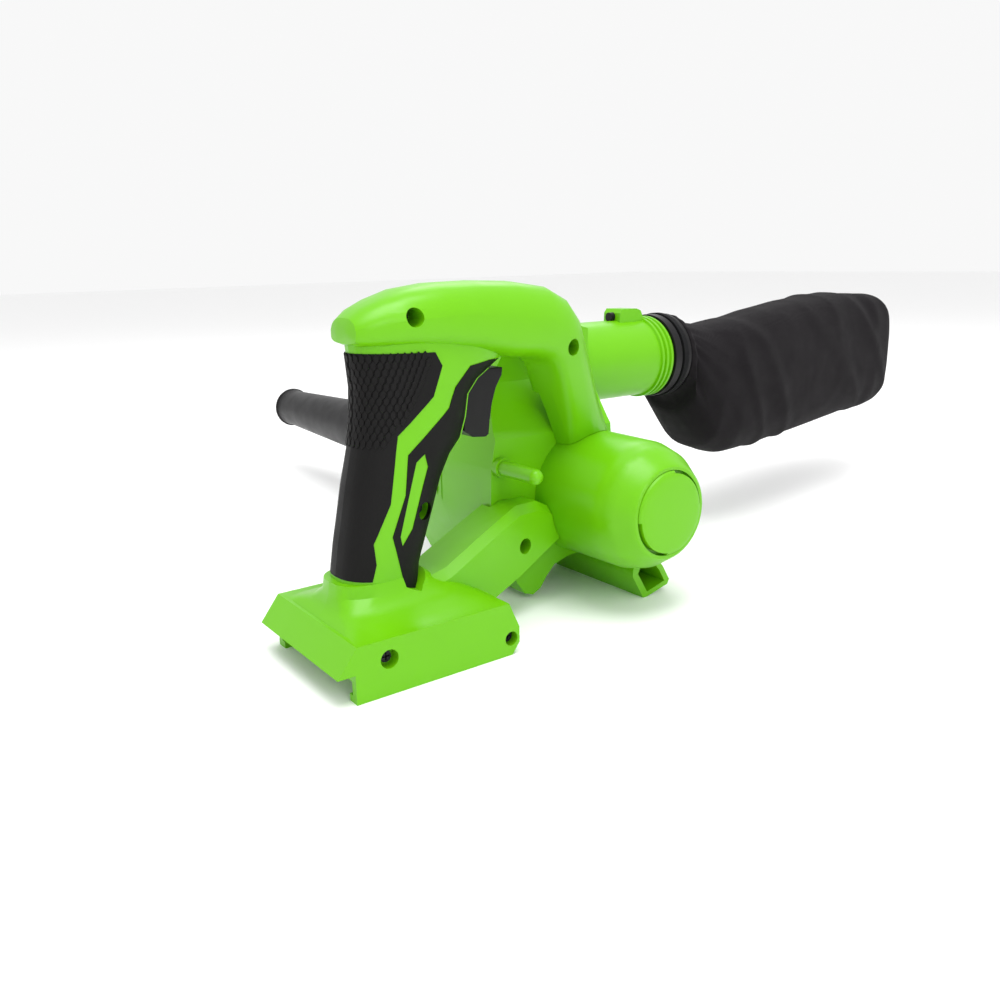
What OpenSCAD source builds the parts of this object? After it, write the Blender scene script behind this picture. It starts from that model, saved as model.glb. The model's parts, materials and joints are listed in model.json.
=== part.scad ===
// Cordless hand-held leaf blower with suction tube and dust bag.
// X points to the motor side, Y along the air jet, Z up. The tool stands on
// its battery dock and on the stand foot under the motor.

/* [Handle] */
// Half width of the grip
grip_hw = 17.5; // [16:0.5:19]
// Height of the top of the head
head_top = 181; // [178:0.5:184]
// Thickness of the moulded shell
wall = 2.6; // [2.2:0.1:3]
// Depth of the rubber overmould
pad_t = 1.8; // [1.2:0.1:2.2]

/* [Battery dock] */
// Half width of the dock
dock_hw = 43; // [41:0.5:45]
// Length of the dock from its rear wall to its nose
dock_len = 92; // [88:1:96]
// Half width of the battery slot
slot_hw = 36; // [34:0.5:37]

/* [Fan and motor] */
// Distance of the fan axis in front of the dock's rear edge
fan_y = 181.4; // [180:0.2:183]
// Height of the fan axis
fan_z = 59.2; // [58:0.2:60]
// Outside radius of the motor barrel
barrel_r = 36.2; // [35:0.2:37]
// Radius of the impeller
imp_r = 30; // [28:1:31]
// Number of impeller blades
imp_n = 9; // [6:1:12]
// Radius of the motor shaft
shaft_r = 2.5; // [2:0.5:3]

/* [Air path] */
// Height of the outlet tube's axis
out_z = 126; // [125:0.5:127]
// Outside radius of the outlet tube
out_r = 24.8; // [24:0.2:25.4]
// Length of the suction tube beyond its socket
tube_len = 296; // [240:2:320]
// Outside radius of the suction tube at its mouth
tube_tip_r = 15.8; // [15:0.2:17]

/* [Trigger and latch] */
// Travel of the trigger
trig_travel = 6; // [4:0.5:7]
// Travel of the bag latch button
latch_travel = 2; // [1.5:0.25:2.5]

/* [Hidden] */
// row origin under the middle of the whole object
org = [182, -283.2, 0];
e = 0.01;
out_x = -58;
out_y = 276;
imp_x = -58;
green = "yellowgreen";

// ---- helpers ----
function sgn(a) = a < 0 ? -1 : 1;
function se(a, n) = sgn(a) * pow(abs(a), 2 / n);
// closed skin through equal rings of points
module loft(s) {
  n = len(s[0]); m = len(s);
  polyhedron(points = [for (r = s) for (p = r) p],
    faces = concat([[for (i = [0:n - 1]) i]],
      [for (k = [0:m - 2]) for (i = [0:n - 1]) each
        [[k * n + i, (k + 1) * n + i, (k + 1) * n + (i + 1) % n],
         [k * n + i, (k + 1) * n + (i + 1) % n, k * n + (i + 1) % n]]],
      [[for (i = [n - 1:-1:0]) (m - 1) * n + i]]), convexity = 8);
}
// side outline (Y,Z) pushed out along X
module side(pts, x0, x1) translate([x0, 0, 0]) rotate([90, 0, 90]) linear_extrude(x1 - x0) polygon(pts);
// front outline (X,Z) pushed out along Y
module front(pts, y0, y1) translate([0, y1, 0]) rotate([90, 0, 0]) linear_extrude(y1 - y0) polygon(pts);
module xcyl(x0, x1, y, z, r, f = 64) translate([x0, y, z]) rotate([0, 90, 0]) cylinder(h = x1 - x0, r = r, $fn = f);
module xcone(x0, x1, y, z, r0, r1) translate([x0, y, z]) rotate([0, 90, 0]) cylinder(h = x1 - x0, r1 = r0, r2 = r1, $fn = 64);
module ycyl(y0, y1, x, z, r, f = 64) translate([x, y1, z]) rotate([90, 0, 0]) cylinder(h = y1 - y0, r = r, $fn = f);
module xrev(pts) translate([0, fan_y, fan_z]) rotate([0, 90, 0]) rotate_extrude($fn = 96) polygon([for (p = pts) [p[1], p[0]]]);
module right_half() intersection() { children(); translate([0, -60, -20]) cube([160, 330, 240]); }
module left_half() intersection() { children(); translate([-160, -60, -20]) cube([160, 330, 240]); }

// ---- grip: rings [z, rear y, front y] ----
GRIP = [[30, 11, 58], [38, 14, 56], [48, 15.5, 57.5], [60, 17.5, 62], [74, 20.5, 67], [88, 23.3, 72], [99, 26, 78],
        [106, 27.6, 84.5], [116, 29.4, 88], [127, 30.6, 90], [134, 31, 96], [139, 30.5, 104], [144, 30, 112], [156, 29, 122]];
function grip_ring(g, d, f = 0) = [for (i = [0:27]) let (a = -i * 360 / 28)
   [(grip_hw - d) * se(sin(a), 2.5), (g[1] + g[2]) / 2 + ((g[2] - g[1]) / 2 - d) * se(cos(a), 2.5), g[0]]];
module grip(d, lo = 0, hi = 13) loft([for (k = [lo:hi]) grip_ring(GRIP[k], d)]);

// ---- head and arch: [outer y, outer z, inner y, inner z, middle x, half width] ----
HEAD = [[26, 162.5, 26.5, 157.5, 0, 7], [27.5, 166.5, 27, 155, 0, 12.5], [33, 170.5, 31, 153.5, 0, 16], [42, 174.5, 40, 153, 0, 18.5],
        [54, 178.3, 54, 152.3, 0, 20.3], [72, head_top - 0.4, 74, 150.5, 0, 21.3], [94, head_top, 92, 147.5, 0, 21.5],
        [118, 180, 110, 143, 0, 21], [139, 176.8, 127, 141.5, 0, 20], [152.5, 170.3, 135, 139.5, -.5, 19], [161.5, 160.3, 139.5, 136, -1.2, 18.2],
        [166.6, 149, 143, 130, -2.4, 17.5], [173, 136, 148, 120, -4.8, 17], [182.6, 115, 154.5, 106, -8.4, 16.4],
        [193.5, 97, 160, 92, -12.4, 16], [199.5, 86, 164, 80, -14.5, 16]];
function head_ring(h, d) = [for (i = [0:27]) let (a = -i * 360 / 28, t = se(sin(a), sin(a) > 0 ? 2.5 : 5), u = se(cos(a), 3.1),
     ly = h[0] - h[2], lz = h[1] - h[3], l = sqrt(ly * ly + lz * lz), k = (t + 1) / 2 * (l - 2 * d) + d,
     w = (h[5] - d) * (1 - 0.16 * max(0, t)))
   [h[4] + u * w, h[2] + ly * k / l, h[3] + lz * k / l]];
module head(d, lo = 0, hi = 15) loft([for (k = [lo:hi]) head_ring(HEAD[k], d)]);

// ---- diagonal strut: rings [y, z of the top edge, z of the bottom edge, middle x, half width] ----
STRUT = [[46, 36, 8, 0, 17], [70, 41.5, 10, -.5, 16.6], [96, 53.5, 16.4, -3.5, 16.2], [120, 63, 25, -7.5, 16], [136, 62.5, 32, -10.5, 16], [151, 55, 38.5, -13, 16]];
function strut_ring(s, d) = let (x0 = s[3] - s[4] + d, x1 = s[3] + s[4] - d, zt = s[1] - d, zb = s[2] + d, c = 4.5)
   [[x0, s[0], zb], [x1, s[0], zb], [x1, s[0], zt - c], [x1 - c, s[0], zt], [x0 + c, s[0], zt], [x0, s[0], zt - c]];
module strut(d, lo = 0, hi = 5) loft([for (k = [hi:-1:lo]) strut_ring(STRUT[k], d)]);

// ---- dock shoulder: rings [z, rear y, front y, half width] blending the dock into the grip ----
SHOULDER = [[24, 2.5, 88, 41], [27.5, 4, 85, 38.6], [29.5, 6, 82, 33], [31.5, 8, 79, 27], [34, 9.3, 75, 22.5], [38, 10.6, 66, 19], [44, 11.6, 58, 17.6]];
function shoulder_ring(s) = [for (i = [0:27]) let (a = -i * 360 / 28, n = s[3] > 30 ? 9 : s[3] > 20 ? 4.5 : 2.8)
   [s[3] * se(sin(a), n), (s[1] + s[2]) / 2 + (s[2] - s[1]) / 2 * se(cos(a), n), s[0]]];

DOCK = [[-7.6, 14.4], [2.5, 27.5], [dock_len - 6, 27.5], [dock_len, 14], [dock_len, 6], [dock_len - 4.5, 0], [1.2, 0], [1.2, 14.4]];
SCREWS = [[53.8, 166, 0, 20], [150.5, 145.5, 0, 19], [57, 74, 0, 15], [123.5, 40.5, -7.5, 8]];      // y, z, middle x, length
DSCREWS = [[18.6, 17.6, 4.6], [dock_len - 5, 8.8, 3.7]];

PAD_R = [[0, 47], [14, 46], [26, 45], [28.5, 53], [28, 63], [37.5, 81], [43.5, 112.5], [63, 129], [68.5, 143], [65, 149.5], [0, 151.5]];
PAD_F = [[115, 139], [109, 138.6], [97, 134.5], [88.5, 127], [86, 116], [88, 104], [100, 90], [80, 60], [50, 36], [46, 37.5], [43, 39],
         [37.5, 65], [45.5, 84], [48, 103], [72, 122.5], [76, 132], [85, 141.5], [98, 143.2], [115, 142.5]];
SLOT_F = [[57, 102.5], [58.6, 96], [48.5, 67], [42.5, 59.5], [41.5, 64.5], [52, 99]];

// screw tunnel bored from both sides, its post standing inside the shell
module screw_holes(g = 0) {
  for (s = SCREWS) {
    xcyl(s[2] + 6, 60, s[0], s[1], 4.4, 32);
    xcyl(s[2] + 4 - 22, s[2] + 6 + e, s[0], s[1], 1.6, 24);
  }
  for (s = DSCREWS) { xcyl(dock_hw - 6, 60, s[0], s[1], s[2], 32); }
}
module handle_solid() { grip(0); head(0); strut(0); loft([for (s = SHOULDER) shoulder_ring(s)]); side(DOCK, -dock_hw, dock_hw); }
module dock_slot() {
  // battery channel: open at the rear and underneath
  side([[-20, -5], [-20, 14.4], [2, 14.4], [2, 16.5], [dock_len - 12, 16.5], [dock_len - 12, -5]], -slot_hw, slot_hw);
  side([[-20, 3.6], [-20, 10.2], [dock_len - 14, 10.2], [dock_len - 14, 3.6]], -slot_hw - 3, slot_hw + 3);
}
module inner_void() {
  grip(pad_t + wall, 2, 13);
  head(wall, 1, 10);
  front([[-12, 29], [12, 29], [12, 49], [-12, 49]], 22, 50);
  strut(wall, 1, 4);
  side([[18, 19.2], [18, 30], [84, 30], [84, 19.2]], -14, 14);
}
module posts() {
  for (s = SCREWS) xcyl(s[2] - 15, s[2] + 20, s[0], s[1], 6, 32);
}
module trigger_pocket() {
  side([[78, 108], [84, 103.4], [130, 101.5], [130, 139.2], [92, 139.2], [78, 131]], -8.4, 8.4);
}
// guide walls beside the trigger, their front edges standing proud of the rubber
module trigger_lip() difference() {
  intersection() { grip(-0.8, 6, 13); side([[78, 103], [84, 101.5], [107, 100.5], [107, 138.6], [92, 138.6], [78, 132]], -9.5, 9.5); }
  trigger_pocket();
}
module handle_full() {
  difference() {
    union() {
      difference() { handle_solid(); inner_void(); dock_slot(); }
      trigger_lip();
      intersection() { handle_solid(); posts(); }
    }
    // recesses for the rubber overmoulds
    difference() { union() { side(PAD_R, -40, 40); difference() { side(PAD_F, -40, 40); side(SLOT_F, -40, 40); } } grip(pad_t, 0, 13);
                   translate([-50, 0, 151.6]) cube([100, 200, 60]); trigger_lip(); }
    trigger_pocket();
    screw_holes();
    // clearance round the motor barrel and the volute
    xcyl(-60, 60, fan_y, fan_z, barrel_r + 0.05, 96);
    xcyl(-60, -10.9, fan_y, fan_z, 68, 96);
    intersection() {
      translate([-104.2, 0, 0]) rotate([90, 0, 90]) linear_extrude(93.3) offset(delta = 0.1) polygon(VOL);
      translate([0, 240, 0]) rotate([90, 0, 0]) linear_extrude(150) offset(delta = 0.1) polygon(VFRONT);
    }
    // seat of the contact holder in the dock roof
    translate([-17, 30, 10]) cube([34, 34, 9.2 + e]);
    translate([-7.5, 34, 16]) cube([15, 26, 4]);
  }
}
module handle_right() color(green) right_half() handle_full();
module handle_left() color(green) left_half() handle_full();

module pad_rear() difference() {
  intersection() { grip(-0.35, 0, 13); side(PAD_R, -40, 40); translate([-50, -20, 0]) cube([100, 200, 151.4]); }
  grip(pad_t, 0, 13);
}
module pad_front() difference() {
  intersection() { grip(-0.35, 0, 13); difference() { side(PAD_F, -40, 40); side(SLOT_F, -40, 40); } }
  grip(pad_t, 0, 13);
  trigger_pocket();
  trigger_lip();
  xcyl(-0.5, 30, 57, 74, 4.5, 32);
  head(0.02, 5, 9);
}
module grip_pad_rear_right() color("dimgray") right_half() pad_rear();
module grip_pad_rear_left() color("dimgray") left_half() pad_rear();
module grip_pad_front_right() color("dimgray") right_half() pad_front();
module grip_pad_front_left() color("dimgray") left_half() pad_front();

// ---- trigger and what it works ----
TRIG = [[86.5, 108], [92, 104.4], [99.5, 103.6], [101.5, 105], [102.4, 112], [104, 120.5], [106.6, 128], [110.4, 134], [111, 138], [98, 138], [86.5, 129.5]];
module trigger() color("darkslategray") difference() {
  side(TRIG, -7.6, 7.6);
  side([[84, 112], [95, 110], [97.5, 123], [96, 132], [84, 125]], -5.4, 5.4);
}
module trigger_spring() color("silver") translate([0, 87.2, 121]) rotate([90, 0, 0]) for (k = [0:4]) translate([0, 0, -8.6 + k * 2.3])
  rotate_extrude($fn = 32) translate([2.8, 0]) circle(r = 0.45, $fn = 16);
module trigger_switch() color("black") {
  difference() {
    translate([-7.2, 54, 115]) cube([14.4, 23.5, 20]);
    for (y = [58.5, 72]) xcyl(-8, 8, y, 119, 1.5, 24);
  }
  ycyl(77.5 - e, 86.2, 0, 121, 1.6, 32);
  for (y = [57, 62, 67]) translate([-1.5, y, 135 - e]) cube([3, 1, 5]);
}
module speed_board() color("seagreen") {
  translate([-9, 60, 158]) cube([18, 44, 1.6]);
  translate([-6, 66, 159.6 - e]) cube([12, 12, 3.4]);
  translate([-7, 84, 159.6 - e]) cube([5, 8, 2.2]);
  translate([2, 92, 159.6 - e]) cylinder(h = 7, r = 3, $fn = 32);
}
module terminal_block() color("black") difference() {
  union() { translate([-16.7, 30.3, 10.3]) cube([33.4, 33.4, 8.7]); translate([-7, 34.5, 19 - e]) cube([14, 25, 0.9]); }
  for (x = [-11, 0, 11]) translate([x - 2.6, 25, 5]) cube([5.2, 30, 8.4]);
  for (x = [-11, 11]) translate([x - 0.45, 30, 9]) cube([0.9, 28, 8]);
}
module contact_blades() color("goldenrod") for (x = [-11, 11]) translate([x - 0.4, 33, 11]) cube([0.8, 23, 5.9]);

module screw(x, y, z, l) {
  difference() { xcyl(x, x + 2.2, y, z, 2.8, 32); translate([x + 1, y - 0.4, z - 2]) cube([2, 0.8, 4]); translate([x + 1, y - 2, z - 0.4]) cube([2, 4, 0.8]); }
  xcyl(x - l, x + e, y, z, 1.5, 24);
}
module handle_screws() color("silver") for (s = SCREWS) screw(s[2] + 6.1, s[0], s[1], s[3]);
module dock_screws() color("silver") for (s = DSCREWS) intersection() { screw(dock_hw - 5.9, s[0], s[1], 1.5); xcyl(dock_hw - 5.95, 60, s[0], s[1], 2.9, 32); }
module motor_leads() color("firebrick") for (x = [-3.4, 3.4]) {
  translate([x, 40, 20.5]) cylinder(h = 26, r = 1.1, $fn = 16);
  translate([x, 40, 46.5 - e]) sphere(r = 1.1, $fn = 16);
  translate([x, 40, 46.5]) rotate([-9.5, 0, 0]) cylinder(h = 66, r = 1.1, $fn = 16);
}

// ---- volute ----
VOL = [[202, 100], [202, 150], [190, 153.5], [172, 156], [157, 153], [141, 142], [128.5, 124], [119.5, 101], [115.4, 80], [114.6, 59], [117.6, 42],
       [124.7, 26.5], [131.5, 12.5], [137, 4.6], [143, 2.6], [148.5, 5.4], [153, 11.5], [159, 17.6], [169, 20.6], [181, 21.4], [193, 22.6], [204, 27.6],
       [213, 36], [218.5, 47], [220, 58.5], [217.5, 70], [210, 82], [202.6, 91]];
VFRONT = [[-104, 0], [-11, 0], [-11, 96], [-31, 124], [-31, 170], [-85, 170], [-85, 124], [-104, 96]];
module volute_outer() intersection() { side(VOL, -104, -11); front(VFRONT, 90, 240); }
VIN = [[199, 103.4], [199, 147], [189, 150.5], [173, 153], [159, 150], [143.5, 139.5], [131.2, 122.5], [122.4, 100], [118.4, 79.5], [117.6, 59.5], [120.4, 43],
       [127.2, 28.4], [134.2, 14.2], [138.8, 7.6], [143.2, 5.8], [146.8, 8], [151, 14], [157.4, 20.4], [168.4, 23.6], [181, 24.4], [192, 25.4], [202.2, 30],
       [210.4, 37.8], [215.5, 47.8], [217, 58.7], [214.6, 69.1], [207.5, 80.4], [199.4, 90]];
module volute_inner() intersection() { side(VIN, -101, -14);
  front([[-101, 0], [-14, 0], [-14, 94.5], [-34, 122.5], [-34, 170], [-82, 170], [-82, 122.5], [-101, 94.5]], 90, 240); }
VSCREW = [[126.6, 104], [137.6, 14.5], [152, 142.8]];
module volute_full() difference() {
  union() { difference() { volute_outer(); volute_inner(); }
    // round outlet neck
    ycyl(194, 208, out_x, out_z, out_r - 2, 72);
    // screw lugs
    for (s = VSCREW) intersection() { xcyl(-104, -42, s[0], s[1], 5.6, 32); volute_outer(); }
    // plinth above the stand foot
    side([[186, 17], [190, 30], [206, 32], [210, 22]], -66, -24);
    xcyl(-14.1, -11, fan_y, fan_z, barrel_r - 0.4, 72);
    // hanging peg
    xcyl(-14, 20, 121, 81.5, 4.2, 40); translate([20, 121, 81.5]) sphere(r = 4.2, $fn = 40); xcyl(-11.5, -7, 121, 81.5, 5.4, 40);
  }
  ycyl(180, 214, out_x, out_z, 21.2, 72);
  // eye of the fan on the inlet side
  xcyl(-105, -100, fan_y, fan_z, 24, 72);
  // motor boss opening
  xcyl(-14.5, 0, fan_y, fan_z, 9.2, 48);
  for (a = [45, 135, 225, 315]) xcyl(-15, -10, fan_y + 16 * cos(a), fan_z + 16 * sin(a), 1.6, 24);
  for (s = VSCREW) { xcyl(-76, -45, s[0], s[1], 1.6, 24); xcyl(-106, -71, s[0], s[1], 3.1, 24); }
  // shallow panel pressed into the rear wall
  translate([-66, 100, 26]) cube([46, 15.2, 51]);
  translate([-62, 100, 30]) cube([38, 15.6, 43]);
  for (x = [-50, -66]) translate([x, fan_y + 12, 4]) cylinder(h = 16, r = 1.6, $fn = 24);
  translate([-36, fan_y + 18, 4]) cylinder(h = 16, r = 1.6, $fn = 24);
}
module vol_cut(a, b) intersection() { children(); translate([a, 60, -5]) cube([b - a, 220, 220]); }
module volute_right() color(green) vol_cut(out_x, 60) volute_full();
module volute_left() color(green) vol_cut(-120, out_x) volute_full();
module volute_screws() color("silver") for (s = VSCREW) mirror([1, 0, 0]) screw(71.1, s[0], s[1], 22);

// ---- outlet tube with ribs and latch housing ----
module outlet_tube() color(green) difference() {
  union() {
    translate([out_x, out_y + 6, out_z]) rotate([90, 0, 0]) rotate_extrude($fn = 96) polygon([[21.2, 0], [22.9, 0], [22.9, 1],
      [24.2, 3.8], [out_r, 4], [out_r, 5.2], [out_r + 1.4, 5.8], [out_r + 1.4, 7.4], [out_r, 8], [out_r, 9.2], [out_r + 1.4, 9.8], [out_r + 1.4, 11.4], [out_r, 12], [out_r, 13.2],
      [out_r + 1.4, 13.8], [out_r + 1.4, 15.4], [out_r, 16], [out_r, 79.9], [22.9, 79.9], [22.9, 73.8], [21.2, 73.8]]);
    side([[246, 147], [246.5, 155.5], [248.5, 158], [261, 157.8], [264.5, 156.4], [266.5, 152.4], [271, 150.6], [271, 146], [246, 146]], out_x - 7.5, out_x + 7.5);
  }
  ycyl(190, 300, out_x, out_z, 21.2, 72);
  ycyl(240, 262.5, out_x, 152.9, 3.02, 32);
}
module latch_button() color("black") { ycyl(243.4, 254, out_x, 152.9, 2.95, 32); }
module latch_spring() color("silver") translate([out_x, 254, 152.9]) rotate([90, 0, 0]) for (k = [0:3]) translate([0, 0, -8 + k * 2.4])
  rotate_extrude($fn = 32) translate([2.1, 0]) circle(r = 0.4, $fn = 16);

// ---- motor barrel ----
module motor_barrel() color(green) difference() {
  xrev([[-10.9, 30], [-10.9, barrel_r], [36, barrel_r - 0.6], [46.4, 32.8], [56.8, 26], [57.6, 24.9], [57.6, 23.2], [54, 23.2], [54, 21], [51, 21], [51, 26], [46, 30.6], [35, 33], [-8, 33.2], [-8, 30]]);
  for (a = [-20:10:160]) translate([0, fan_y, fan_z]) rotate([a - 20, 0, 0]) translate([50, 21, -1.2]) cube([1, 1, 2.4]);
}
module end_cap() color(green) difference() {
  xrev([[54.1, 0], [54.1, 22.9], [57.8, 22.9], [58.8, 22.2], [59.4, 20], [59.8, 14], [60, 0]]);
  xrev([[53, 0], [53, 20.6], [57, 20.6], [58, 12], [58.4, 0]]);
  // cooling slots along the rim
  for (a = [18:6:90], h = [0, 180]) translate([0, fan_y, fan_z]) rotate([a + h - 10, 0, 0]) translate([53, 21.5, -1.6]) cube([12, 3, 3.2]);
}
module motor_can() color("gray") difference() {
  union() { xcyl(-7.6, 44, fan_y, fan_z, 24, 72); xcyl(44 - e, 47, fan_y, fan_z, 9, 48); }
  xcyl(-5.6, 42, fan_y, fan_z, 22.4, 72);
  xcyl(-8, 48, fan_y, fan_z, 6.52, 48);
  xcyl(-8, -5, fan_y, fan_z, 6.52, 48);
  for (a = [45, 135, 225, 315]) xcyl(-8, -5, fan_y + 16 * cos(a), fan_z + 16 * sin(a), 1.6, 24);
  for (a = [0:60:300]) translate([0, fan_y, fan_z]) rotate([a, 0, 0]) translate([41, 12, -3]) cube([4, 7, 6]);
}
module field_magnets() color("black") for (s = [0, 180]) translate([0, fan_y, fan_z]) rotate([s, 0, 0]) intersection() {
  difference() { translate([0, 0, 0]) rotate([0, 90, 0]) cylinder(h = 30, r = 22.3, $fn = 72); translate([-1, 0, 0]) rotate([0, 90, 0]) cylinder(h = 32, r = 17.6, $fn = 72); }
  side([[0, 0], [40, 22], [40, -22]], -2, 34);
}
module brush_plate() color("saddlebrown") {
  difference() { xcyl(36.5, 38, fan_y, fan_z, 22.2, 72); xcyl(36, 39, fan_y, fan_z, 9.2, 48); }
  for (s = [-1, 1]) translate([33, fan_y + s * 13 - 4.2, fan_z - 2.5]) cube([3.5 + e, 8.4, 5]);
}
module motor_bearings() color("silver") for (x = [-7.6, 42.5]) difference() { xcyl(x, x + 4, fan_y, fan_z, 6.5, 48); xcyl(x - 1, x + 5, fan_y, fan_z, shaft_r + 0.03, 48); }
module armature_stack() color("gray") difference() {
  xcyl(3, 27, fan_y, fan_z, 16.9, 64);
  xcyl(2, 28, fan_y, fan_z, shaft_r + 0.02, 48);
  for (k = [0:4]) translate([0, fan_y, fan_z]) rotate([k * 72, 0, 0]) {
    translate([2, 0, 11]) rotate([0, 90, 0]) cylinder(h = 26, r = 3.7, $fn = 32);
    translate([2, -0.9, 11]) cube([26, 1.8, 8]);
  }
}
module armature_coils() color("sienna") {
  for (x = [-0.5, 26.9 + 0.2]) difference() { xcyl(x, x + 3.4, fan_y, fan_z, 14.6, 48); xcyl(x - 1, x + 5, fan_y, fan_z, 5.5, 48); }
  for (k = [0:4]) translate([0, fan_y, fan_z]) rotate([k * 72, 0, 0]) translate([1, 0, 11]) rotate([0, 90, 0]) cylinder(h = 28, r = 3.4, $fn = 32);
}
module commutator() color("peru") difference() {
  union() { xcyl(31, 41, fan_y, fan_z, 7.4, 48); }
  xcyl(30, 42, fan_y, fan_z, shaft_r + 0.02, 48);
  for (a = [0:60:300]) translate([0, fan_y, fan_z]) rotate([a, 0, 0]) translate([30.5, 6.6, -0.35]) cube([11, 2, 0.7]);
}
module motor_shaft() color("lightgray") { xcyl(-78, 48.5, fan_y, fan_z, shaft_r, 48); }
module impeller() color("dimgray") difference() {
  union() {
    xcyl(-26, -22.5, fan_y, fan_z, imp_r, 96);
    xcyl(-74, -25, fan_y, fan_z, 7.5, 48);
    xcone(-44, -25, fan_y, fan_z, 7, 15);
    for (k = [0:imp_n - 1]) translate([0, fan_y, fan_z]) rotate([k * 360 / imp_n, 0, 0])
      side([[5, -0.9], [14, 0.6], [22, 4], [imp_r - 3, 10.4], [imp_r - 3.6, 12], [21, 6], [13, 2.6], [5, 0.9]], -70, -25);
    difference() { xcyl(-72, -69.4, fan_y, fan_z, imp_r, 96); xcyl(-73, -69, fan_y, fan_z, 19, 72); }
  }
  xcyl(-75, -20, fan_y, fan_z, shaft_r, 48);
}
module impeller_nut() color("silver") difference() { translate([-78, fan_y, fan_z]) rotate([0, 90, 0]) cylinder(h = 3.9, r = 4.6, $fn = 6); xcyl(-79, -73, fan_y, fan_z, shaft_r + 0.02, 48); }
module motor_screws() color("silver") for (a = [45, 135, 225, 315]) { xcyl(-17, -14.1, fan_y + 16 * cos(a), fan_z + 16 * sin(a), 2.7, 24); xcyl(-14.2, -5.7, fan_y + 16 * cos(a), fan_z + 16 * sin(a), 1.5, 24); }

// ---- suction side ----
module inlet_socket() color("black") difference() {
  xrev([[-104, 24.3], [-104, 30], [-107, 30], [-109, 28.4], [-130, 28.4], [-131.5, 29.4], [-134, 29.4], [-134, 24.3]]);
  for (a = [0, 90, 180, 270]) xcyl(-108, -103, fan_y + 27 * cos(a), fan_z + 27 * sin(a), 1.1, 24);
}
module inlet_guard() color("black") intersection() {
  xcyl(-106.5, -104.1, fan_y, fan_z, 24.25, 72);
  union() {
    difference() { xcyl(-107, -104, fan_y, fan_z, 25, 72); xcyl(-108, -103, fan_y, fan_z, 21.6, 72); }
    for (z = [-16:8:16]) translate([-107, fan_y - 25, fan_z + z - 0.9]) cube([4, 50, 1.8]);
    translate([-107, fan_y - 1, fan_z - 25]) cube([4, 2, 50]);
  }
}
module suction_tube() color("black") {
  x1 = -134; x2 = x1 - tube_len + 6;
  xrev([[-110, 21.4], [-110, 24.24], [x1 + 0.2, 24.24], [x1 - 0.2, 24.3], [x1 - 0.2, 27.2], [x1 - 3, 27.4], [x1 - 5, 25.4], [x2 + 8, tube_tip_r], [x2 + 3, tube_tip_r + 0.4],
    [x2 + 1.4, tube_tip_r + 1.6], [x2, tube_tip_r + 1.5], [x2, tube_tip_r - 2], [x2 + 14, tube_tip_r - 2], [x1 - 5, 22]]);
}

// ---- stand foot: an open channel under the barrel ----
FOOT = [[193, 0], [196, 0], [212.5, 4], [214, 6.8], [208.5, 16], [204.5, 20.6], [186.5, 22], [184.5, 18.5], [184.5, 14.5]];
module stand_foot() color(green) difference() {
  side(FOOT, -50, 28);
  side([[196, 3], [210, 6.6], [205.6, 14.2], [202.4, 17.8], [190.5, 19.2], [188.5, 15.5]], -46, 40);
  xcyl(-80, 80, fan_y, fan_z, barrel_r + 0.3, 96);
  // trimmed under the volute wall
  volute_outer();
  side([[186, 17], [190, 30], [206, 32], [210, 22]], -66.3, -23.7);
}
module foot_screws() color("silver") for (p = [[-40, 198], [-28, 198]]) { translate([p[0], p[1], 15]) cylinder(h = 1, r = 1.4, $fn = 24); }

// ---- dust bag ----
module bag_collar() color("black") translate([out_x, out_y + 16.5, out_z]) rotate([90, 0, 0])
  rotate_extrude($fn = 96) polygon([[22.96, 0], [27, 0], [27, 2.5], [25.4, 3.5], [25.4, 7.5], [27, 8.5], [27, 14.4], [24.9, 14.4], [24.9, 12.6], [22.96, 10.4]]);
module bag_band() color("black") translate([out_x, out_y + 12.7, out_z]) rotate([90, 0, 0])
  rotate_extrude($fn = 96) polygon([[25.45, 0], [27.6, 0], [27.6, 3.4], [25.45, 3.4]]);
BAG = [[294, -58, 126, 27.5, 27.5], [302, -58.5, 122, 30, 31.5], [314, -59.5, 113.5, 33, 39], [330, -61, 103, 36, 48], [352, -64, 99.5, 38, 53], [400, -72, 103.5, 40, 55.5], [450, -80, 107.2, 41.5, 56.2],
       [500, -87, 110.4, 41.5, 55.2], [545, -92, 112, 40.5, 53], [567, -95, 111.5, 39, 50], [574, -96, 111, 36, 46]];
module dust_bag() color("black") loft([for (b = BAG) [for (i = [0:23]) let (a = i * 15) [b[1] + b[3] * se(sin(a), b[0] > 540 ? 3.4 : 2.6), b[0], b[2] + b[4] * se(cos(a), b[0] > 540 ? 3.4 : 2.6)]]]);

translate(org) handle_right();
translate(org) handle_left();
translate(org) grip_pad_rear_right();
translate(org) grip_pad_rear_left();
translate(org) grip_pad_front_right();
translate(org) grip_pad_front_left();
translate(org) trigger();
translate(org) trigger_spring();
translate(org) trigger_switch();
translate(org) speed_board();
translate(org) terminal_block();
translate(org) contact_blades();
translate(org) handle_screws();
translate(org) dock_screws();
translate(org) motor_leads();
translate(org) volute_right();
translate(org) volute_left();
translate(org) volute_screws();
translate(org) outlet_tube();
translate(org) latch_button();
translate(org) latch_spring();
translate(org) motor_barrel();
translate(org) end_cap();
translate(org) motor_can();
translate(org) field_magnets();
translate(org) brush_plate();
translate(org) motor_bearings();
translate(org) armature_stack();
translate(org) armature_coils();
translate(org) commutator();
translate(org) motor_shaft();
translate(org) impeller();
translate(org) impeller_nut();
translate(org) motor_screws();
translate(org) inlet_socket();
translate(org) inlet_guard();
translate(org) suction_tube();
translate(org) stand_foot();
translate(org) foot_screws();
translate(org) bag_collar();
translate(org) bag_band();
translate(org) dust_bag();
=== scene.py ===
import math, json
import bpy, bmesh
import numpy as np
from mathutils import Vector, Matrix, noise


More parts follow.
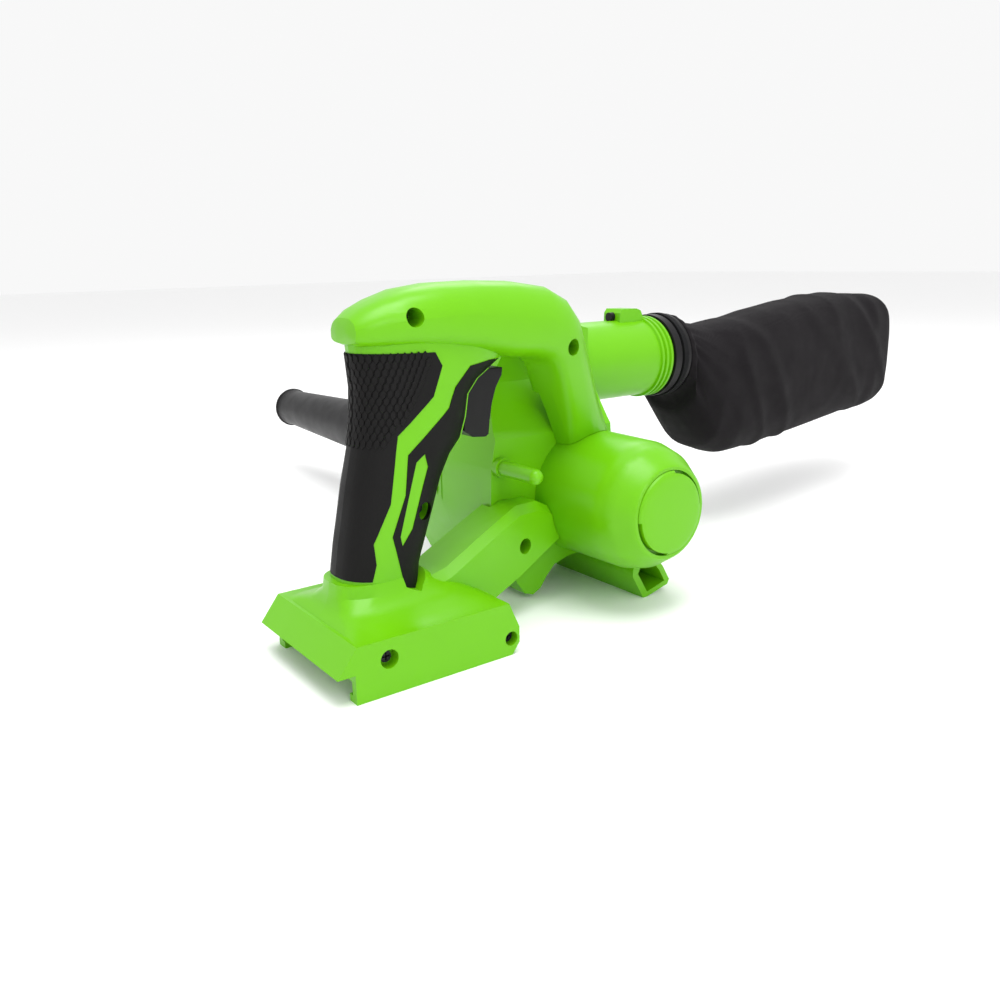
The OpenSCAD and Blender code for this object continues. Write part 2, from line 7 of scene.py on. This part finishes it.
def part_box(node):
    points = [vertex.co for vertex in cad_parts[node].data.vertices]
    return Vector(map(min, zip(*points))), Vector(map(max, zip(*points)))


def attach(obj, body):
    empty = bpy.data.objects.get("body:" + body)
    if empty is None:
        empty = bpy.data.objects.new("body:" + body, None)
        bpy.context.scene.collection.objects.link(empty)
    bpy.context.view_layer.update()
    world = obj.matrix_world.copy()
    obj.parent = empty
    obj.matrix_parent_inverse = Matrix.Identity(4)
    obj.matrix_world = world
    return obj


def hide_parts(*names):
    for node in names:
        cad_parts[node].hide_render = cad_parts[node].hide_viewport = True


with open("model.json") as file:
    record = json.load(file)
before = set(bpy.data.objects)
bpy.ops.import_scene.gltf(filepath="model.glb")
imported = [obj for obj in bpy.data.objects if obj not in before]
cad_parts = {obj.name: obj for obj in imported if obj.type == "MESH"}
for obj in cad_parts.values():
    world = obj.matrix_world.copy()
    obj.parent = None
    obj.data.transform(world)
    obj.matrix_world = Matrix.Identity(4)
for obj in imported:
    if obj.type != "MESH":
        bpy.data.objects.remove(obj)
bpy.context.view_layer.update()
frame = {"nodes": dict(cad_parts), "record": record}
N = frame["nodes"]
ORG = np.array([182.0, -283.2, 0.0])


def put(p):
    """Working millimetres to the row frame in metres."""
    return Vector(((p[0] + ORG[0]) / 1000, (p[1] + ORG[1]) / 1000, (p[2] + ORG[2]) / 1000))


# ------------------------------------------------------------ materials
def tree(name):
    m = bpy.data.materials.new(name)
    m.use_nodes = True
    t = m.node_tree
    return m, t, t.nodes["Principled BSDF"]


def add(t, kind, **kw):
    n = t.nodes.new(kind)
    for k, v in kw.items():
        setattr(n, k, v)
    return n


def ranged(t, src, lo, hi, a=0.3, b=0.7):
    n = add(t, "ShaderNodeMapRange")
    n.inputs["From Min"].default_value = a
    n.inputs["From Max"].default_value = b
    n.inputs["To Min"].default_value = lo
    n.inputs["To Max"].default_value = hi
    t.links.new(src, n.inputs["Value"])
    return n.outputs["Result"]


def noisy(t, co, scale, detail=3.0, rough=0.55):
    n = add(t, "ShaderNodeTexNoise")
    n.inputs["Scale"].default_value = scale
    n.inputs["Detail"].default_value = detail
    n.inputs["Roughness"].default_value = rough
    t.links.new(co, n.inputs["Vector"])
    return n.outputs["Fac"]


def tint(t, fac, a, b):
    n = add(t, "ShaderNodeMix", data_type="RGBA")
    n.inputs["A"].default_value = (*a, 1)
    n.inputs["B"].default_value = (*b, 1)
    t.links.new(fac, n.inputs["Factor"])
    return n.outputs["Result"]


def solid(name, rgb, rough, metal=0.0, spread=0.06, dark=0.9, grain=900.0, depth=0.00006, strength=0.25, patch=22.0, spec=0.5, coat=0.0):
    m, t, b = tree(name)
    co = add(t, "ShaderNodeTexCoord").outputs["Object"]
    big = noisy(t, co, patch, 4.0)
    b.inputs["Metallic"].default_value = metal
    b.inputs["Specular IOR Level"].default_value = spec
    b.inputs["Coat Weight"].default_value = coat
    b.inputs["Coat Roughness"].default_value = 0.25
    t.links.new(tint(t, big, [c * dark for c in rgb], rgb), b.inputs["Base Color"])
    t.links.new(ranged(t, noisy(t, co, patch * 3, 5.0), rough - spread, rough + spread), b.inputs["Roughness"])
    bump = add(t, "ShaderNodeBump")
    bump.inputs["Strength"].default_value = strength
    bump.inputs["Distance"].default_value = depth
    t.links.new(noisy(t, co, grain, 2.0), bump.inputs["Height"])
    t.links.new(bump.outputs["Normal"], b.inputs["Normal"])
    return m


def math_node(t, op, a, b=None):
    n = add(t, "ShaderNodeMath", operation=op)
    for k, v in enumerate((a, b)):
        if v is None:
            continue
        if isinstance(v, (int, float)):
            n.inputs[k].default_value = v
        else:
            t.links.new(v, n.inputs[k])
    return n.outputs["Value"]


def woven(name, rgb, pitch, rough=0.85, strength=0.5, depth=0.00025):
    m, t, b = tree(name)
    co = add(t, "ShaderNodeTexCoord").outputs["Object"]
    sep = add(t, "ShaderNodeSeparateXYZ")
    t.links.new(co, sep.inputs["Vector"])
    k = 2 * math.pi / pitch
    warp = math_node(t, "SINE", math_node(t, "MULTIPLY", sep.outputs["Y"], k))
    across = math_node(t, "ADD", math_node(t, "MULTIPLY", sep.outputs["X"], 0.8), sep.outputs["Z"])
    weft = math_node(t, "SINE", math_node(t, "MULTIPLY", across, k))
    weave = math_node(t, "MULTIPLY", warp, weft)
    height = math_node(t, "ADD", math_node(t, "MULTIPLY", weave, 0.5), math_node(t, "MULTIPLY", noisy(t, co, 1400.0, 2.0), 0.5))
    patch = noisy(t, co, 16.0, 4.0)
    t.links.new(tint(t, patch, [c * 0.75 for c in rgb], [c * 1.2 for c in rgb]), b.inputs["Base Color"])
    t.links.new(ranged(t, noisy(t, co, 60.0, 4.0), rough - 0.08, rough + 0.08), b.inputs["Roughness"])
    b.inputs["Sheen Weight"].default_value = 0.03
    b.inputs["Sheen Roughness"].default_value = 0.45
    b.inputs["Specular IOR Level"].default_value = 0.10
    bump = add(t, "ShaderNodeBump")
    bump.inputs["Strength"].default_value = strength
    bump.inputs["Distance"].default_value = depth
    t.links.new(height, bump.inputs["Height"])
    t.links.new(bump.outputs["Normal"], b.inputs["Normal"])
    return m


GREEN = (0.135, 0.455, 0.001)
M = {
    "green_shell": solid("green_shell", GREEN, 0.34, dark=0.93, grain=1500.0, depth=0.00004, strength=0.18, spec=0.30),
    "grip_rubber": solid("grip_rubber", (0.0060, 0.0056, 0.0056), 0.52, dark=0.75, grain=1800.0, depth=0.00012, strength=0.5, spec=0.14),
    "black_plastic": solid("black_plastic", (0.0085, 0.0080, 0.0088), 0.40, dark=0.8, grain=1300.0, depth=0.00008, strength=0.3, spec=0.2),
    "bag_fabric": woven("bag_fabric", (0.0080, 0.0066, 0.0080), 0.0011),
    "band_elastic": woven("band_elastic", (0.008, 0.008, 0.009), 0.0007),
    "black_steel": solid("black_steel", (0.02, 0.02, 0.022), 0.4, metal=0.6, grain=700.0, spec=0.3),
    "steel": solid("steel", (0.60, 0.60, 0.62), 0.32, metal=1.0, grain=700.0),
    "can_steel": solid("can_steel", (0.47, 0.48, 0.49), 0.38, metal=1.0, grain=900.0),
    "magnet": solid("magnet", (0.05, 0.05, 0.055), 0.6, grain=600.0, strength=0.5),
    "copper": solid("copper", (0.70, 0.30, 0.12), 0.3, metal=1.0),
    "brass": solid("brass", (0.75, 0.56, 0.22), 0.28, metal=1.0),
    "board": solid("board", (0.015, 0.17, 0.06), 0.35),
    "phenolic": solid("phenolic", (0.30, 0.16, 0.07), 0.55),
    "wire_red": solid("wire_red", (0.55, 0.025, 0.02), 0.4),
}
SLOT = {s["node"]: s["material_slot"] for s in frame["record"]["subparts"]}


# ------------------------------------------------------------ shading of the CAD pieces
def smooth_group():
    g = bpy.data.node_groups.new("smooth_by_angle", "GeometryNodeTree")
    g.interface.new_socket("Geometry", in_out="INPUT", socket_type="NodeSocketGeometry")
    s = g.interface.new_socket("Angle", in_out="INPUT", socket_type="NodeSocketFloat")
    s.default_value = math.radians(32)
    g.interface.new_socket("Geometry", in_out="OUTPUT", socket_type="NodeSocketGeometry")
    i = g.nodes.new("NodeGroupInput")
    o = g.nodes.new("NodeGroupOutput")
    face = g.nodes.new("GeometryNodeSetShadeSmooth")
    face.domain = "FACE"
    edge = g.nodes.new("GeometryNodeSetShadeSmooth")
    edge.domain = "EDGE"
    edge.inputs["Shade Smooth"].default_value = False
    ang = g.nodes.new("GeometryNodeInputMeshEdgeAngle")
    cmp_ = g.nodes.new("FunctionNodeCompare")
    cmp_.data_type = "FLOAT"
    cmp_.operation = "GREATER_THAN"
    g.links.new(i.outputs["Geometry"], face.inputs["Geometry"])
    g.links.new(face.outputs["Geometry"], edge.inputs["Geometry"])
    g.links.new(ang.outputs["Unsigned Angle"], cmp_.inputs["A"])
    g.links.new(i.outputs["Angle"], cmp_.inputs["B"])
    g.links.new(cmp_.outputs["Result"], edge.inputs["Selection"])
    g.links.new(edge.outputs["Geometry"], o.inputs["Geometry"])
    return g


SMOOTH = smooth_group()
BEVEL = {"volute_right": 0.8, "volute_left": 0.8, "motor_barrel": 0.5, "end_cap": 0.4, "stand_foot": 0.8, "trigger": 0.8,
         "outlet_tube": 0.3, "bag_collar": 0.4, "suction_tube": 0.5, "inlet_socket": 0.5, "latch_button": 0.4}


def shade(o, angle=32, bevel=0.0):
    w = o.modifiers.new("weld", "WELD")
    w.merge_threshold = 0.00001
    if bevel:
        b = o.modifiers.new("edge_round", "BEVEL")
        b.width = bevel / 1000
        b.segments = 2
        b.limit_method = "ANGLE"
        b.angle_limit = math.radians(40)
        b.use_clamp_overlap = True
        b.miter_outer = "MITER_ARC"
    s = o.modifiers.new("smooth", "NODES")
    s.node_group = SMOOTH
    sock = [k for k in SMOOTH.interface.items_tree if k.name == "Angle"][0].identifier
    s[sock] = math.radians(angle)
    n = o.modifiers.new("flat_faces", "WEIGHTED_NORMAL")
    n.keep_sharp = True
    n.weight = 90


for name, o in N.items():
    o.data.materials.clear()
    o.data.materials.append(M[SLOT[name]])
    shade(o, 32, BEVEL.get(name, 0.0))


# ------------------------------------------------------------ grip texture: raised rubber tiles
GRIP = [[30, 11, 58], [38, 14, 56], [48, 15.5, 57.5], [60, 17.5, 62], [74, 20.5, 67], [88, 23.3, 72], [99, 26, 78],
        [106, 27.6, 84.5], [116, 29.4, 88], [127, 30.6, 90], [134, 31, 96], [139, 30.5, 104], [144, 30, 112], [156, 29, 122]]


def se(a, n):
    return math.copysign(abs(a) ** (2.0 / n), a)


def grip_point(z, a, d):
    zs = [g[0] for g in GRIP]
    y0 = float(np.interp(z, zs, [g[1] for g in GRIP]))
    y1 = float(np.interp(z, zs, [g[2] for g in GRIP]))
    return Vector(((17.5 - d) * se(math.sin(a), 2.5), (y0 + y1) / 2 + ((y1 - y0) / 2 - d) * se(math.cos(a), 2.5), z))


def object_from(name, verts, faces, material, smooth=True):
    me = bpy.data.meshes.new(name)
    me.from_pydata([tuple(v) for v in verts], [], faces)
    me.validate()
    me.update()
    if smooth:
        me.polygons.foreach_set("use_smooth", [True] * len(me.polygons))
    o = bpy.data.objects.new(name, me)
    bpy.context.collection.objects.link(o)
    me.materials.append(material)
    return o


def arc_table(z):
    """Angles from the grip's rear middle round one side with the distance along the surface."""
    n = 90
    out = [(math.pi, 0.0)]
    last = grip_point(z, math.pi, -0.35)
    s = 0.0
    for i in range(1, n + 1):
        a = math.pi - i * math.pi * 0.62 / n
        p = grip_point(z, a, -0.35)
        s += (p - last).length
        out.append((a, s))
        last = p
    return out


def tiles(side):
    """Long six-sided tiles, each one a raised rubber pad with a sloped rim."""
    verts, faces = [], []
    pitch_s, pitch_z = 3.3, 5.2
    rows = 13
    for r in range(rows):
        zc = 148.2 - r * pitch_z * 0.62
        tab = arc_table(zc)
        aa = [t[0] for t in tab][::-1]
        ss = [t[1] for t in tab][::-1]
        # the front edge of the texture runs down and back, as the rubber's edge does
        reach = float(np.interp(zc, [100, 112, 128, 141, 150], [16, 24, 33, 41, 43]))
        count = int(reach / pitch_s)
        for c in range(count):
            sc = 1.9 + (c + (0.5 if r % 2 else 0.0)) * pitch_s
            if sc > reach - 1.2:
                continue
            hs, hz = pitch_s * 0.43, pitch_z * 0.5
            ring = [(0, -hz), (hs, -hz * 0.42), (hs, hz * 0.42), (0, hz), (-hs, hz * 0.42), (-hs, -hz * 0.42)]
            base = len(verts)
            for k, d in ((1.0, -0.30), (0.93, -0.62), (0.74, -0.85)):
                for u, v in ring:
                    a = float(np.interp(sc + u * k, ss[::-1], aa[::-1])) if ss[0] > ss[-1] else float(np.interp(sc + u * k, ss, aa))
                    p = grip_point(min(150.6, zc + v * k), a, d)
                    p.x *= side
                    verts.append(put(p))
            for lv in (0, 1):
                for i in range(6):
                    j = (i + 1) % 6
                    faces.append((base + lv * 6 + i, base + lv * 6 + j, base + lv * 6 + 6 + j, base + lv * 6 + 6 + i))
            faces.append(tuple(base + 12 + i for i in range(6)))
    return verts, faces


for side, tag in ((1, "right"), (-1, "left")):
    v, f = tiles(side)
    o = object_from("grip_tiles_" + tag, v, f, M["grip_rubber"], smooth=False)
    bm = bmesh.new()
    bm.from_mesh(o.data)
    bmesh.ops.recalc_face_normals(bm, faces=bm.faces)
    bm.to_mesh(o.data)
    bm.free()
    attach(o, "housing")


# ------------------------------------------------------------ dust bag
BAG = np.array([[294, -58, 126, 27.5, 27.5], [302, -58.5, 122, 30, 31.5], [314, -59.5, 113.5, 33, 39], [330, -61, 103, 36, 48],
                [352, -64, 99.5, 38, 53], [400, -72, 103.5, 40, 55.5], [450, -80, 107.2, 41.5, 56.2], [500, -87, 110.4, 41.5, 55.2],
                [545, -92, 112, 40.5, 53], [567, -95, 111.5, 39, 50], [574, -96, 111, 36, 46]])


def bag_ring(y, inset):
    x, z, a, b = (float(np.interp(y, BAG[:, 0], BAG[:, k])) for k in (1, 2, 3, 4))
    return x, z, a - inset, b - inset


def bag_mesh():
    rings, around = 84, 112
    ys = np.concatenate([np.linspace(293.2, 330, 16)[:-1], np.linspace(330, 572.5, rings - 15)])
    verts, faces = [], []
    for k, y in enumerate(ys):
        t = min(1.0, max(0.0, (y - 294) / 60))
        x, z, a, b = bag_ring(max(294, y), 0.9 + 1.6 * t)
        n = 2.05 + 0.55 * t + 0.8 * min(1.0, max(0.0, (y - 535) / 12))
        for i in range(around):
            q = 2 * math.pi * i / around
            gather = 1 + 0.012 * math.exp(-max(0, y - 296) / 12) * math.cos(22 * q) * min(1, max(0, (y - 293.2) / 3))
            verts.append(put((x + a * gather * se(math.sin(q), n), y, z + b * gather * se(math.cos(q), n))))
    for k in range(len(ys) - 1):
        for i in range(around):
            j = (i + 1) % around
            faces.append((k * around + i, k * around + j, (k + 1) * around + j, (k + 1) * around + i))
    # far end: rings closing to the middle
    x, z, a, b = bag_ring(572.5, 2.5)
    last = (len(ys) - 1) * around
    for s in range(1, 9):
        f = 1 - s / 9
        base = len(verts)
        for i in range(around):
            q = 2 * math.pi * i / around
            verts.append(put((x + a * f * se(math.sin(q), 3.4), 572.5 + 0.8 * (1 - f), z + b * f * se(math.cos(q), 3.4))))
        for i in range(around):
            j = (i + 1) % around
            faces.append((last + i, last + j, base + j, base + i))
        last = base
    c = len(verts)
    verts.append(put((x, 573.3, z)))
    for i in range(around):
        faces.append((last + i, last + (i + 1) % around, c))
    return verts, faces, around


bv, bf, AROUND = bag_mesh()
bag = object_from("dust_bag_cloth", bv, bf, M["bag_fabric"])
REST = np.array([tuple(v) for v in bv])


def fold(p):
    """Soft diagonal folds in the cloth, in millimetres, from fixed noise."""
    x, y, z = p[0] * 1000 - ORG[0], p[1] * 1000 - ORG[1], p[2] * 1000
    u = (y - 300) * 0.80 + (z - 110) * 0.62
    w = (y - 300) * 0.60 - (z - 110) * 0.80
    a = noise.noise(Vector((u * 0.021, w * 0.006, x * 0.006 + 3.1)))
    b = noise.noise(Vector((w * 0.016 + 7.7, u * 0.005, x * 0.007)))
    c = noise.noise(Vector((y * 0.045, z * 0.040 + 2.0, x * 0.04)))
    ridge = max(0.0, 1 - abs(a) * 4.2) ** 1.5
    return 2.3 * ridge + 1.5 * b + 0.35 * c


def move_folds(o, amount):
    me = o.data
    me.update()
    nor = [v.normal.copy() for v in me.vertices]
    for v, n in zip(me.vertices, nor):
        y = v.co.y * 1000 - ORG[1]
        k = min(1.0, max(0.0, (y - 297) / 40)) * (1.0 if y < 560 else max(0.35, (574 - y) / 14))
        v.co += n * (-(1.4 - fold(v.co)) * amount * k / 1000)
    me.update()


move_folds(bag, 1.0)


def simulate(o):
    """The cloth is a little larger than its shape and buckles; its mouth is held by the collar."""
    g = o.vertex_groups.new(name="mouth")
    hold = [v.index for v in o.data.vertices if v.co.y * 1000 - ORG[1] < 297]
    g.add(hold, 1.0, "REPLACE")
    m = o.modifiers.new("cloth", "CLOTH")
    s = m.settings
    s.quality = 6
    s.mass = 0.25
    s.tension_stiffness = 18
    s.compression_stiffness = 18
    s.shear_stiffness = 6
    s.bending_stiffness = 0.9
    s.vertex_group_mass = "mouth"
    s.shrink_min = -0.035
    s.use_pressure = True
    s.uniform_pressure_force = 1.6
    s.effector_weights.gravity = 0.35
    m.point_cache.frame_start = 1
    m.point_cache.frame_end = 24
    sc = bpy.context.scene
    for f in range(1, 23):
        sc.frame_set(f)
    dg = bpy.context.evaluated_depsgraph_get()
    e = o.evaluated_get(dg).to_mesh()
    co = np.array([tuple(v.co) for v in e.vertices])
    o.evaluated_get(dg).to_mesh_clear()
    o.modifiers.remove(m)
    sc.frame_set(1)
    d = co - REST
    ln = np.linalg.norm(d, axis=1, keepdims=True) + 1e-9
    cap = 0.007
    co = REST + d * np.minimum(1, cap / ln)
    co[:, 2] = np.maximum(co[:, 2], 0.001)
    y = REST[:, 1] * 1000 - ORG[1]
    keep = np.clip((y - 296) / 10, 0, 1)[:, None]
    cur = np.array([tuple(v.co) for v in o.data.vertices])
    co = cur * (1 - keep) + co * keep
    o.data.vertices.foreach_set("co", co.ravel())
    o.data.update()


simulate(bag)
move_folds(bag, 0.75)


def settle(o):
    """Points are kept inside the space the CAD bag holds, with a small margin."""
    lo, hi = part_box("dust_bag")
    for v in o.data.vertices:
        v.co.x = min(max(v.co.x, lo[0] - 0.002), hi[0] + 0.002)
        v.co.y = min(max(v.co.y, lo[1] - 0.0009), hi[1] + 0.002)
        v.co.z = min(max(v.co.z, lo[2] - 0.003), hi[2] + 0.002)
    o.data.update()


settle(bag)


def apply_mods(o):
    dg = bpy.context.evaluated_depsgraph_get()
    me = bpy.data.meshes.new_from_object(o.evaluated_get(dg))
    o.modifiers.clear()
    old = o.data
    o.data = me
    me.polygons.foreach_set("use_smooth", [True] * len(me.polygons))
    return old


th = bag.modifiers.new("thickness", "SOLIDIFY")
th.thickness = 0.0007
th.offset = -1
sub = bag.modifiers.new("even", "SUBSURF")
sub.levels = 1
sub.render_levels = 1
apply_mods(bag)


def reach(o):
    """Subdivision pulls the closed end in, so the cloth is drawn out again to the CAD bag's length."""
    co = np.array([tuple(v.co) for v in o.data.vertices])
    lo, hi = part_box("dust_bag")
    y0, y1, y2 = lo[1] + 0.02, co[:, 1].max(), hi[1] - 0.0003
    k = co[:, 1] > y0
    co[k, 1] = y0 + (co[k, 1] - y0) * (y2 - y0) / (y1 - y0)
    o.data.vertices.foreach_set("co", co.ravel())
    o.data.update()


reach(bag)
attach(bag, "bag")
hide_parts("dust_bag")

# ------------------------------------------------------------ floor, light, camera
floor_mat, ft, fb = tree("floor_pale")
fb.inputs["Base Color"].default_value = (0.95, 0.95, 0.95, 1)
fb.inputs["Roughness"].default_value = 0.75
fb.inputs["Specular IOR Level"].default_value = 0.25
bpy.ops.mesh.primitive_plane_add(size=14, location=(0, 0, 0))
floor = bpy.context.object
floor.name = "floor"
floor.data.materials.append(floor_mat)

world = bpy.data.worlds.new("studio")
bpy.context.scene.world = world
world.use_nodes = True
world.node_tree.nodes["Background"].inputs["Color"].default_value = (1, 1, 1, 1)
world.node_tree.nodes["Background"].inputs["Strength"].default_value = 0.94


def area(name, loc, target, size, energy, sy=None):
    l = bpy.data.lights.new(name, "AREA")
    l.shape = "RECTANGLE"
    l.size = size
    l.size_y = sy or size
    l.energy = energy
    o = bpy.data.objects.new(name, l)
    bpy.context.collection.objects.link(o)
    o.location = loc
    d = Vector(target) - Vector(loc)
    o.rotation_euler = d.to_track_quat("-Z", "Y").to_euler()
    return o


area("key_top", (0.45, -0.25, 1.5), (0.16, -0.1, 0.05), 0.9, 17)
area("side_right", (1.5, -0.35, 0.8), (0.18, -0.15, 0.08), 0.7, 5)
area("back_left", (-0.8, 0.7, 1.2), (0.1, 0.0, 0.08), 0.7, 4)

CAM = dict(f=910.6, p=14.95, a=54.13, roll=1.23, C=(379.4, -161.5, 191.65))


def camera():
    p, a, ro = (math.radians(CAM[k]) for k in ("p", "a", "roll"))
    fwd = Vector((-math.sin(a) * math.cos(p), math.cos(a) * math.cos(p), -math.sin(p)))
    right = Vector((math.cos(a), math.sin(a), 0))
    down = fwd.cross(right)
    r = right * math.cos(ro) + down * math.sin(ro)
    d = -right * math.sin(ro) + down * math.cos(ro)
    data = bpy.data.cameras.new("camera")
    data.sensor_width = 36
    data.sensor_fit = "HORIZONTAL"
    data.lens = CAM["f"] * 36 / 1000
    data.clip_start = 0.01
    data.clip_end = 50
    o = bpy.data.objects.new("camera", data)
    bpy.context.collection.objects.link(o)
    up, back = -d, -fwd
    loc = put(CAM["C"])
    o.matrix_world = Matrix(((r.x, up.x, back.x, loc.x), (r.y, up.y, back.y, loc.y), (r.z, up.z, back.z, loc.z), (0, 0, 0, 1)))
    bpy.context.scene.camera = o


camera()
bpy.context.scene.view_settings.view_transform = "Standard"
